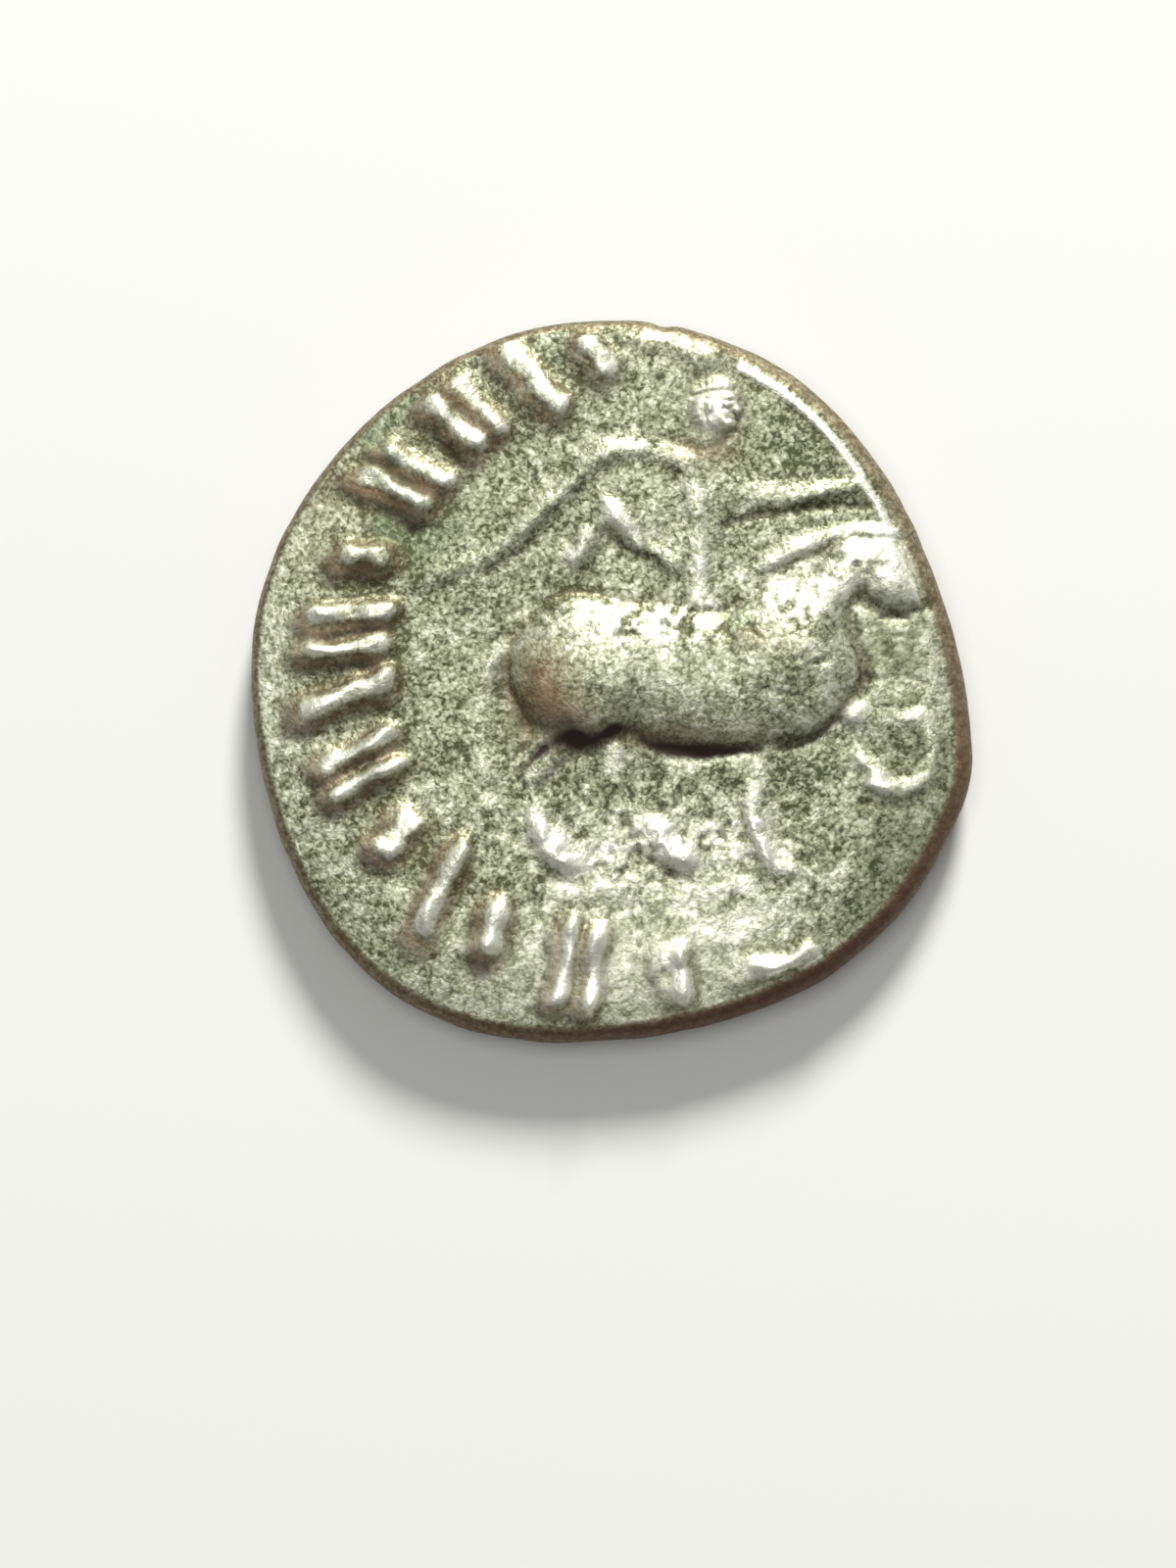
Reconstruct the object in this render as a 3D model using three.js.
// A worn silver drachm with a horseman on its upper face, lying on its other face.
// One piece of metal: a hammered, slightly irregular flan, struck off centre between two dies.
// Millimetres, +Z up. The origin is under the middle of the coin, on the surface that it lies on.
import * as THREE from "three";

// The flan
const flanWidth = 15.5; // greatest width, from left to right
const fieldThickness = 1.2; // metal between the two fields in the middle
const edgeInset = 0.31; // how far a struck face stops inside the widest line of the edge
const edgeInsetOffset = 0.15; // added on the side where the edge shows most, and taken off on the other
const edgeInsetTowards = -40; // degrees, that side
const edgeFall = 0.14; // how far a face drops towards the edge
const edgeFallReach = 1.6; // how wide that drop is
const cupping = 0.07; // how far the blow bent the whole flan down at its edge
const hammerWave = 0.025; // slow unevenness of the fields
const hammerWaveLength = 5.2;

// The outline swells in and out a few times round the edge: [times round, share of radius, degrees of a peak]
const outlineSwells = [
  [1, 0.029, -128],
  [2, 0.008, -82],
  [3, 0.021, -25],
  [4, 0.015, -28],
  [5, 0.004, 24],
  [6, 0.004, -9],
];
const bluntCornerAt = -15; // degrees
const bluntCornerReach = 9; // degrees
const bluntCornerShare = 0.017; // of the radius

// The dies
const dieShiftX = 1.07; // the upper die struck this far off the middle of the flan
const dieShiftY = 0.41;
const legendRadius = 6.75; // middle of the row of strokes, from the middle of the die
const strokeLength = 1.62;
const strokeBreadth = 0.46;
const loneStrokeShare = 1.3; // how much broader a stroke is that stands alone
const strokeEnds = 1.3; // how much broader a stroke is at its ends than in the middle
const strokeFlat = 0.45; // share of a stroke's breadth that is flat on top
const strokeRelief = 0.3;
const strokeWornShare = 0.45; // what is left of a stroke's relief where the strike was weakest
const strokesStrongAt = 190; // degrees, the side where the strokes were struck up best
const horseLength = 9.1; // from rump to muzzle
const horseRelief = 0.52; // highest point of the horse over the field
const riderRelief = 0.2;
const lipRelief = 0.07; // the metal pushed up along the upper right edge
const backRelief = 0.24; // from the lower field down to the plane where its highest points are worn flat
const backLegendRadius = 6;
const backStrokes = 14;
const figureFlat = 0.5; // share of the lower figure's breadth that is flat on top
const backWear = 1.3; // what the lower forms were struck to, as a share of what wear has left of them

// How relief is shaped
const thinningPower = 0.6; // a thin limb is lower than a broad one by this power of their breadths
const blendingPower = 4; // power of the sum that runs neighbouring forms together
const domeShare = 0.25; // from one dome of a limb to the next, as a share of its least half breadth

// The facets
const alongSpacing = 0.3; // between points along a limb of relief
const acrossSpacing = 0.25; // between points across it
const flatStep = 0.8; // between points along a broad flat-topped limb, as a share of its half breadth
const footCrowding = 1.4; // power that brings the rows of a round limb closer together towards its foot
const fieldSpacing = 0.62; // between points on the bare field
const closestPoints = 0.065; // nearer ones are left out
const rimSpacing = 0.5; // between points round the edge
const edgeRings = 5; // rings of points down the edge, an odd number to have one along its widest line
const unevenness = 0.002; // keeps any four points off one circle, so that one set of facets fits them best

const flanRadius = flanWidth / 2;
const rimCount = Math.round((2 * Math.PI * flanRadius) / rimSpacing);
const rimAngle = (i) => (i / rimCount) * 2 * Math.PI;
const drawingStep = horseLength / 117.5; // the figures are drawn on a grid of 117.5 steps per horse's length
const radians = THREE.MathUtils.degToRad;
const GOLDEN_ANGLE = Math.PI * (3 - Math.sqrt(5));
const { clamp, lerp, smoothstep } = THREE.MathUtils;

// The unscaled outline, as a share of the flan's radius at an angle in radians
function outlineShare(angle) {
  let share = 1;
  for (const [times, depth, peak] of outlineSwells) {
    share += depth * Math.cos(times * (angle - radians(peak)));
  }
  const past = angle - radians(bluntCornerAt);
  const fromCorner = Math.atan2(Math.sin(past), Math.cos(past));
  return share + bluntCornerShare * Math.exp(-((fromCorner / radians(bluntCornerReach)) ** 2));
}

// The box round the unscaled outline, which sets the scale and the shift that centre the flan on the origin
function outlineBox() {
  const box = new THREE.Box2();
  for (let i = 0; i < rimCount; i++) {
    const share = outlineShare(rimAngle(i));
    box.expandByPoint(new THREE.Vector2(share, 0).rotateAround(new THREE.Vector2(), rimAngle(i)));
  }
  return box;
}
const rawBox = outlineBox();
const outlineScale = flanWidth / (rawBox.max.x - rawBox.min.x);
const outlineCentre = rawBox.getCenter(new THREE.Vector2()).multiplyScalar(-outlineScale);

// Radius of the widest line of the edge, from the outline's own middle
const edgeRadius = (angle) => outlineScale * outlineShare(angle);
const insetAt = (angle) => edgeInset + edgeInsetOffset * Math.cos(angle - radians(edgeInsetTowards));

// The cross-section of a limb: its height at a share of its half breadth, the shares that get rows of points,
// and how far apart those are along it. A rounded one has steep sides at a fullness under 1, and soft ones
// over 1.
const rounded = (fullness) => ({
  height: (share) => (1 - share ** 2) ** fullness,
  rows(half) {
    const count = Math.max(1, Math.round(half / acrossSpacing));
    return Array.from({ length: count + 1 }, (_, i) => 1 - (1 - i / count) ** footCrowding);
  },
  along: () => alongSpacing,
});
const flatTopped = (flat) => ({
  height: (share) => Math.min(1, (1 - share) / (1 - flat)),
  rows: () => [flat, 1],
  along: (half) => Math.max(alongSpacing, half * flatStep),
});

const stout = rounded(0.6);
const plump = rounded(0.8);
const worn = rounded(1.2);

// A limb of relief runs along a smooth curve through points [x, y, half breadth], in steps of the drawing.
// It is a row of domes so close that they make one ridge, and its stations are where it gets points.
function limb(points, relief, section = plump, step = drawingStep) {
  const controls = points.map((values) => new THREE.Vector3(...values).multiplyScalar(step));
  if (controls.length === 1) controls.push(controls[0]);
  const curve = new THREE.CatmullRomCurve3(controls);
  const length = curve.getLength();
  const narrowest = Math.min(...controls.map((p) => p.z));
  const spaced = (spacing) => (length ? curve.getSpacedPoints(Math.ceil(length / spacing)) : controls);
  const domes = spaced(narrowest * domeShare);
  const widest = Math.max(...domes.map((p) => p.z));
  const box = new THREE.Box2().setFromPoints(domes).expandByScalar(widest);
  return { domes, stations: spaced(section.along(widest)), widest, relief, section, box };
}

function limbHeight({ domes, widest, relief, section, box }, place) {
  if (!box.containsPoint(place)) return 0;
  let height = 0;
  for (const dome of domes) {
    const share = Math.hypot(place.x - dome.x, place.y - dome.y) / dome.z;
    if (share < 1) height = Math.max(height, (dome.z / widest) ** thinningPower * section.height(share));
  }
  return relief * height;
}

// Points on the rows of a limb, along both sides of its path and round its two ends, from the crest outwards
function limbPoints({ stations, widest, section }) {
  const points = [];
  for (const share of section.rows(widest)) {
    stations.forEach((p, i) => {
      const before = stations[Math.max(i - 1, 0)];
      const after = stations[Math.min(i + 1, stations.length - 1)];
      const heading = Math.atan2(after.y - before.y, after.x - before.x);
      const reach = p.z * share;
      function put(turn) {
        const side = new THREE.Vector2(reach, 0).rotateAround(new THREE.Vector2(), heading + turn);
        points.push({ place: side.add(p), isFoot: share === 1 });
      }
      put(Math.PI / 2);
      put(-Math.PI / 2);
      const isEnd = i === 0 || i === stations.length - 1;
      const capSteps = isEnd ? Math.max(2, Math.round((Math.PI * reach) / alongSpacing)) : 0;
      for (let k = 1; k < capSteps; k++) put((i === 0 ? 1 : -1) * (Math.PI / 2) + (Math.PI * k) / capSteps);
    });
  }
  return points;
}

// Forms that meet run together without a crease
const reliefHeight = (limbs, place) =>
  limbs.reduce((sum, form) => sum + limbHeight(form, place) ** blendingPower, 0) ** (1 / blendingPower);

// The horse walks to the right: haunch, barrel and chest, neck and head, four legs and the tail
function horse() {
  const low = horseRelief * 0.3;
  return [
    limb([[-8, 3, 20], [-4, 3, 20]], horseRelief, stout),
    limb([[-12, -4, 11], [-14, -13, 7.5], [-18, -20, 5], [-22.5, -26, 3.5]], horseRelief * 0.38),
    limb([[4, 4, 17], [20, 2, 18.5], [34, 0.5, 18], [49, 3, 19.5]], horseRelief * 0.86, stout),
    limb([[46, 8, 17], [53, 17, 12], [60, 25, 7.5], [68, 33, 7.5]], horseRelief * 0.8),
    limb([[73, 33, 7.5], [79, 29.5, 9.5], [85, 28, 8]], horseRelief * 0.6),
    limb([[41, 31, 1.6], [50, 36, 2], [58, 39, 2], [68, 41.5, 2.4], [80, 40, 2]], horseRelief * 0.4),
    limb([[44, -15, 3.4], [41, -26, 2.4], [39, -38, 2.6], [41.5, -46, 2.4], [46, -51, 3], [51, -52, 2]], low),
    limb([[64, -7, 4.5], [76, -11, 3], [86, -11, 3], [89.5, -18, 2.6], [85, -28, 2.4], [74, -29.5, 3]], low),
    limb([[69, -21, 2.4], [75, -26, 2.6]], low),
    limb([[-22.5, -25, 3.6], [-22.5, -32, 2.8], [-19.5, -40, 3.2], [-14.5, -47.5, 4.2], [-9, -50, 2.6]], low),
    limb([[1, -19, 3.4], [3, -29, 2.6], [8, -38, 4.2], [17, -46, 4.8], [23, -50, 2.6]], low),
    limb(
      [[-25, 10.5, 2.6], [-32, 6, 2.6], [-35.5, -2, 2.4], [-36.5, -14, 2.4], [-35, -26, 2]],
      low * 0.7,
      worn,
    ),
    limb([[88, 19, 1.5], [90, -1.5, 1.5]], low * 0.6, worn),
    limb([[-17, -57, 1.6], [4, -58.5, 1.8], [26, -58.5, 1.8], [37, -57, 1.6]], low * 0.5, worn),
  ];
}

// The rider is worn to a low figure: head, body, the arm held out, the coat and the long curved whip behind
function rider() {
  const soft = riderRelief * 0.6;
  return [
    limb([[28, 75, 6.5], [29, 77.5, 5.5]], riderRelief * 1.05, stout),
    limb([[33.5, 75.5, 1.8], [34, 73, 1.5]], riderRelief * 0.9, worn),
    limb([[27, 68, 3.4], [25, 60, 7]], soft, worn),
    limb([[25, 60, 8], [24, 50, 9.5], [22, 36, 9.5], [20.5, 23, 8.5]], soft, worn),
    limb([[22, 49, 3.4], [24.5, 39, 2.6], [25, 28, 2.6], [26.5, 21, 3.4]], riderRelief),
    limb(
      [[26.5, 58, 3.4], [37, 52, 2.6], [48, 51, 2.2], [61, 52.5, 2.2], [70.5, 55, 2.4]],
      riderRelief * 0.9,
    ),
    limb(
      [[22, 60, 2.4], [13, 63, 2.6], [4, 64.5, 2.9], [-4, 62, 2.9], [-11.5, 55, 2.4], [-19.5, 47, 2.4]],
      riderRelief,
    ),
    limb([[-19.5, 47, 2.4], [-29.5, 39.5, 2.9], [-39.5, 33, 2.9], [-50, 28, 2.4]], riderRelief),
    limb([[-11, 32, 2.4], [-6.5, 39, 2.9], [-0.5, 46, 3.8], [7, 38.5, 3], [18, 32, 2.4]], riderRelief * 1.1),
    limb([[4, 50, 17]], soft * 0.8, worn),
  ];
}

// The shapes that stand in the row of the inscription, each a few separate strokes that make no letter.
// A stroke is [from, to], and a point is [outwards, sideways], in shares of the stroke's length.
const strokeShapes = {
  lean: [[[-0.5, -0.16], [0.5, 0.16]]],
  pair: [[[-0.46, -0.28], [0.42, -0.14]], [[-0.42, 0.14], [0.46, 0.28]]],
  stub: [[[-0.2, -0.08], [0.2, 0.08]]],
  along: [[[0.1, -0.4], [0.22, 0.4]]],
};

// The upper row: [degrees round the die, shape]
const upperRow = [
  [86, "along"],
  [101, "stub"],
  [114, "lean"],
  [128, "pair"],
  [144, "pair"],
  [160, "stub"],
  [174, "pair"],
  [186, "lean"],
  [199, "pair"],
  [213, "stub"],
  [226, "lean"],
  [238, "stub"],
  [255, "pair"],
  [273, "stub"],
  [292, "along"],
];

function strokeRow(row, radius, centre, reliefAt) {
  return row.flatMap(([degrees, shape]) => {
    const out = new THREE.Vector2(1, 0).rotateAround(new THREE.Vector2(), radians(degrees));
    const side = new THREE.Vector2(-out.y, out.x);
    const middle = new THREE.Vector2(...centre).addScaledVector(out, radius);
    const half = (strokeBreadth / 2) * (strokeShapes[shape].length === 1 ? loneStrokeShare : 1);
    return strokeShapes[shape].map((ends) => {
      const points = ends.map(([outwards, sideways]) => {
        const p = middle.clone().addScaledVector(out, outwards * strokeLength);
        return p.addScaledVector(side, sideways * strokeLength);
      });
      const waist = points[0].clone().lerp(points[1], 0.5);
      const clubbed = [
        [points[0].x, points[0].y, half * strokeEnds],
        [waist.x, waist.y, half],
        [points[1].x, points[1].y, half * strokeEnds],
      ];
      return limb(clubbed, reliefAt(degrees), flatTopped(strokeFlat), 1);
    });
  });
}

// The strokes of the upper face were struck up well on one side only
function upperStrokeRelief(degrees) {
  const strong = 0.5 + 0.5 * Math.cos(radians(degrees - strokesStrongAt));
  return strokeRelief * lerp(strokeWornShare, 1, smoothstep(strong, 0, 0.9));
}

// The lip pushed up along the upper right edge
function lip() {
  const points = [];
  for (let degrees = 28; degrees <= 68; degrees += 8) {
    const angle = radians(degrees);
    const inside = edgeRadius(angle) - insetAt(angle) - lipRelief * 2;
    points.push([
      outlineCentre.x + inside * Math.cos(angle),
      outlineCentre.y + inside * Math.sin(angle),
      lipRelief * 2,
    ]);
  }
  return limb(points, lipRelief, worn, 1);
}

// The lower face, seen from below: a plain standing figure in a long robe with a staff, in its own row of
// strokes. Its relief is a share of the way down to the plane that the coin lies on.
function standingFigure() {
  const robe = flatTopped(figureFlat);
  return [
    limb([[0, -32, 14], [0, -16, 12.5], [0, 2, 10], [0, 14, 12], [0, 21, 13]], 1, robe),
    limb([[0, 28, 5], [0, 34, 5]], 0.85, robe),
    limb([[0, 38, 8.5], [0, 40.5, 8]], 1, robe),
    limb([[-10, 22, 5.5], [-21, 10, 4.6], [-27, 21, 4.2], [-28, 26, 4.6]], 0.85, robe),
    limb([[10, 22, 5.5], [21, 11, 4.6], [29, 18, 4.4]], 0.85, robe),
    limb([[31, -44, 2.8], [31, 48, 2.8]], 0.7, robe),
    limb([[-5, -43, 4.4], [-11, -46, 3.8]], 0.8, robe),
    limb([[6, -43, 4.4], [12, -46, 3.8]], 0.8, robe),
    limb([[-25, -53.5, 2.4], [25, -53.5, 2.4]], 0.6, robe),
  ];
}
const lowerRow = Array.from({ length: Math.round(backStrokes) }, (_, i) => [
  90 + ((i + 0.5) * 360) / backStrokes,
  i % 4 === 3 ? "pair" : "lean",
]);

const upperForms = [
  ...horse(),
  ...rider(),
  ...strokeRow(upperRow, legendRadius, [dieShiftX, dieShiftY], upperStrokeRelief),
  lip(),
];
const lowerForms = [...standingFigure(), ...strokeRow(lowerRow, backLegendRadius, [0, 0], () => 1)];

// How far a field lies below its level in the middle, near the edge and in the slow waves of the hammering
function fieldDrop(place, toEdge) {
  const wave = (2 * Math.PI) / hammerWaveLength;
  const crossed = Math.sin(place.x * wave + 1) * Math.cos(place.y * wave * 0.8);
  const slanted = Math.sin((place.x - place.y) * wave * 0.6);
  const near = 1 - clamp(toEdge / edgeFallReach, 0, 1);
  return edgeFall * near ** 2 - (hammerWave * (crossed + slanted)) / 2;
}

// Heights of the two faces over the plane that the coin lies on. The blow cupped both the same way, and wear
// has cut all that reached the plane off flat.
const cupped = (place) => cupping * (1 - place.lengthSq() / flanRadius ** 2);
function upperSurface(place, toEdge) {
  const field = backRelief + fieldThickness + cupped(place) - fieldDrop(place, toEdge);
  return field + reliefHeight(upperForms, place);
}
function lowerSurface(place, toEdge) {
  const field = backRelief + cupped(place) + fieldDrop(place, toEdge);
  const seenFromBelow = new THREE.Vector2(-place.x, place.y);
  return field * (1 - Math.min(1, backWear * reliefHeight(lowerForms, seenFromBelow)));
}

const faceRadius = (angle) => edgeRadius(angle) - insetAt(angle);
function atAngle(angle, radius) {
  return new THREE.Vector2(radius, 0).rotateAround(new THREE.Vector2(), angle).add(outlineCentre);
}
function distanceToRim(place) {
  const fromCentre = place.clone().sub(outlineCentre);
  return faceRadius(fromCentre.angle()) - fromCentre.length();
}

// Places for the points of one face: its rim, then rows along every limb, then rings on the bare field.
// The forms of the lower face are drawn as seen from below, so they are mirrored.
function facePlaces(forms, mirror) {
  const places = [];
  for (let i = 0; i < rimCount; i++) places.push(atAngle(rimAngle(i), faceRadius(rimAngle(i))));
  function offer(place) {
    if (distanceToRim(place) < closestPoints) return;
    if (places.some((other) => other.distanceTo(place) < closestPoints)) return;
    const nudge = new THREE.Vector2(unevenness, 0);
    nudge.rotateAround(new THREE.Vector2(), places.length * GOLDEN_ANGLE);
    places.push(nudge.add(place));
  }
  for (const form of forms) {
    const others = forms.filter((other) => other !== form);
    for (const { place, isFoot } of limbPoints(form)) {
      const isBuried = isFoot && others.some((other) => limbHeight(other, place) > 0);
      if (!isBuried) offer(new THREE.Vector2(place.x * mirror, place.y));
    }
  }
  const rings = Math.round(flanRadius / fieldSpacing);
  for (let ring = rings - 1; ring >= 0; ring--) {
    const share = ring / rings;
    const count = Math.max(1, Math.round((2 * Math.PI * share * flanRadius) / fieldSpacing));
    for (let i = 0; i < count; i++) {
      const angle = ((i + (ring % 2) / 2) / count) * 2 * Math.PI;
      const place = atAngle(angle, share * faceRadius(angle));
      const drawn = new THREE.Vector2(place.x * mirror, place.y);
      if (forms.every((form) => limbHeight(form, drawn) === 0)) offer(place);
    }
  }
  return places;
}

// The triangles between places in a plane whose circles hold no other place (after Bowyer and Watson)
function trianglesBetween(places) {
  const far = flanWidth * 100;
  const frame = [new THREE.Vector2(-far, -far), new THREE.Vector2(far, -far), new THREE.Vector2(0, far)];
  const all = [...places, ...frame];
  function triangle(corners) {
    const [a, b, c] = corners.map((number) => all[number]);
    const twice = 2 * (a.x * (b.y - c.y) + b.x * (c.y - a.y) + c.x * (a.y - b.y));
    const [a2, b2, c2] = [a.lengthSq(), b.lengthSq(), c.lengthSq()];
    const centre = new THREE.Vector2(
      (a2 * (b.y - c.y) + b2 * (c.y - a.y) + c2 * (a.y - b.y)) / twice,
      (a2 * (c.x - b.x) + b2 * (a.x - c.x) + c2 * (b.x - a.x)) / twice,
    );
    return { corners, centre, reach: centre.distanceToSquared(a) };
  }
  let triangles = [triangle([places.length, places.length + 1, places.length + 2])];
  places.forEach((place, number) => {
    const open = new Map();
    triangles = triangles.filter(({ corners, centre, reach }) => {
      if (centre.distanceToSquared(place) >= reach) return true;
      corners.forEach((from, k) => {
        const to = corners[(k + 1) % 3];
        if (!open.delete(`${to} ${from}`)) open.set(`${from} ${to}`, [from, to]);
      });
      return false;
    });
    for (const [from, to] of open.values()) triangles.push(triangle([from, to, number]));
  });
  return triangles.map(({ corners }) => corners);
}

const positions = [];
const facets = [];
const addPoint = (x, y, z) => positions.push(x, y, z) / 3 - 1;

// One struck face. Its first points are its rim, and a facet whose middle lies outside the rim is left out.
function struckFace(surface, forms, facesUp) {
  const places = facePlaces(forms, facesUp ? 1 : -1);
  const first = positions.length / 3;
  for (const place of places) addPoint(place.x, place.y, surface(place, Math.max(0, distanceToRim(place))));
  for (const corners of trianglesBetween(places)) {
    if (corners.some((number) => number >= places.length)) continue;
    const middle = new THREE.Vector2();
    for (const number of corners) middle.addScaledVector(places[number], 1 / 3);
    if (distanceToRim(middle) < 0 && corners.every((number) => number < rimCount)) continue;
    const [a, b, c] = corners.map((number) => first + number);
    facets.push(...(facesUp ? [a, b, c] : [a, c, b]));
  }
  return Array.from({ length: rimCount }, (_, i) => first + i);
}

// The hammered edge rounds over from the upper rim to the lower one, widest at its middle
function roundedEdge(upperRim, lowerRim) {
  const heightAt = (number) => positions[3 * number + 2];
  let above = upperRim;
  for (let ring = 1; ring <= edgeRings + 1; ring++) {
    const over = (Math.PI * ring) / (edgeRings + 1);
    const onRing = (_, i) => {
      const angle = rimAngle(i);
      const place = atAngle(angle, edgeRadius(angle) - insetAt(angle) * (1 - Math.sin(over)));
      const height = lerp(heightAt(upperRim[i]), heightAt(lowerRim[i]), (1 - Math.cos(over)) / 2);
      return addPoint(place.x, place.y, height);
    };
    const below = ring > edgeRings ? lowerRim : upperRim.map(onRing);
    above.forEach((number, i) => {
      const next = (i + 1) % rimCount;
      facets.push(number, below[i], above[next], above[next], below[i], below[next]);
    });
    above = below;
  }
}

roundedEdge(struckFace(upperSurface, upperForms, true), struckFace(lowerSurface, lowerForms, false));

const geometry = new THREE.BufferGeometry();
geometry.setAttribute("position", new THREE.Float32BufferAttribute(positions, 3));
geometry.setIndex(facets);
geometry.computeVertexNormals();

const tonedSilver = new THREE.MeshStandardMaterial({ color: 0xa5aa91, roughness: 0.42, metalness: 1 });
const coin = new THREE.Mesh(geometry, tonedSilver);
coin.name = "drachm";

const drachm = new THREE.Group();
drachm.add(coin);
export default drachm;
